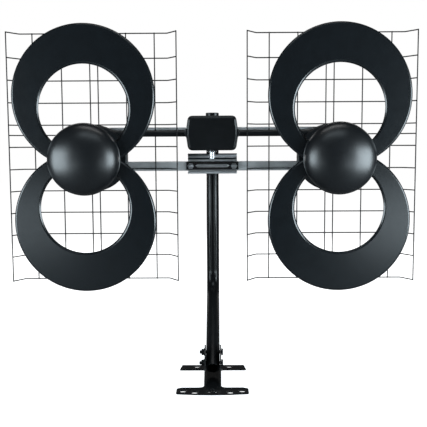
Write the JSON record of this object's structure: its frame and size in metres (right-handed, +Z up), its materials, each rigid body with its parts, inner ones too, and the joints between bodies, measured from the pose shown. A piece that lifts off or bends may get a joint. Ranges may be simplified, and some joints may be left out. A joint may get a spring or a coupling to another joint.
{
  "type": "two-panel loop television antenna on a mast",
  "caption": "Roof or attic television antenna: pairs of tapered loops in front of wire reflectors, on two booms clamped to a J-shaped mast with a tilting foot.",
  "frame": {"origin": "centre of the foot plate's flat underside", "axes": "+Z up along the mast, +X to the right as seen from the side of the loops, +Y to the back, so the loops face -Y"},
  "size_m": [0.6898, 0.2579, 0.5631],
  "materials": {
    "loop_aluminium": "satin",
    "dome_plastic": "satin",
    "black_plastic": "satin",
    "reflector_wire": "satin",
    "boom_aluminium": "satin",
    "chrome_steel": "polished",
    "black_steel": "gloss",
    "zinc_steel": "satin",
    "circuit_board": "satin"
  },
  "bodies": {
    "foot": {"foot_bracket": "black_steel", "pivot_bolt": "black_steel", "pivot_nut": "black_steel"},
    "mast": {"mast_tube": "black_steel", "mast_cap": "black_plastic", "lock_bolt": "black_steel", "lock_nut": "black_steel"},
    "head": {"loop_upper_left": "loop_aluminium", "loop_lower_left": "loop_aluminium", "dome_cover_left": "dome_plastic", "balun_board_left": "circuit_board", "rear_cup_left": "black_plastic", "standoff_tube_left": "black_plastic", "hub_plate_left": "black_plastic", "feed_tube_left": "black_plastic", "mesh_screen_left": "reflector_wire", "boom_bracket_left": "zinc_steel", "housing_screw_left": "zinc_steel", "boom_screw_left": "zinc_steel", "clamp_bolt_left": "zinc_steel", "clamp_nut_left": "zinc_steel", "hub_bolt_upper_left": "zinc_steel", "loop_screw_upper_outer_left": "zinc_steel", "loop_screw_upper_inner_left": "zinc_steel", "hub_bolt_lower_left": "zinc_steel", "loop_screw_lower_outer_left": "zinc_steel", "loop_screw_lower_inner_left": "zinc_steel", "loop_upper_right": "loop_aluminium", "loop_lower_right": "loop_aluminium", "dome_cover_right": "dome_plastic", "balun_board_right": "circuit_board", "rear_cup_right": "black_plastic", "standoff_tube_right": "black_plastic", "hub_plate_right": "black_plastic", "feed_tube_right": "black_plastic", "mesh_screen_right": "reflector_wire", "boom_bracket_right": "zinc_steel", "housing_screw_right": "zinc_steel", "boom_screw_right": "zinc_steel", "clamp_bolt_right": "zinc_steel", "clamp_nut_right": "zinc_steel", "hub_bolt_upper_right": "zinc_steel", "loop_screw_upper_outer_right": "zinc_steel", "loop_screw_upper_inner_right": "zinc_steel", "hub_bolt_lower_right": "zinc_steel", "loop_screw_lower_outer_right": "zinc_steel", "loop_screw_lower_inner_right": "zinc_steel", "upper_boom": "boom_aluminium", "lower_boom": "boom_aluminium", "housing_front": "black_plastic", "housing_rear": "black_plastic", "combiner_board": "circuit_board", "coax_connector": "chrome_steel", "connector_nut": "chrome_steel", "clamp_plate": "chrome_steel", "clamp_channel": "chrome_steel", "front_saddle": "chrome_steel", "rear_saddle": "chrome_steel"}
  },
  "joints": [
    {"name": "mast_tilt", "type": "hinge", "parent": "foot", "child": "mast", "pos_m": [0, 0.0206, 0.0217], "axis": [1, 0, 0], "range_deg": [-25, 25]},
    {"name": "head_swivel", "type": "hinge", "parent": "mast", "child": "head", "pos_m": [0, 0.1736, 0.34], "axis": [0, 0, 1], "continuous": true}
  ]
}
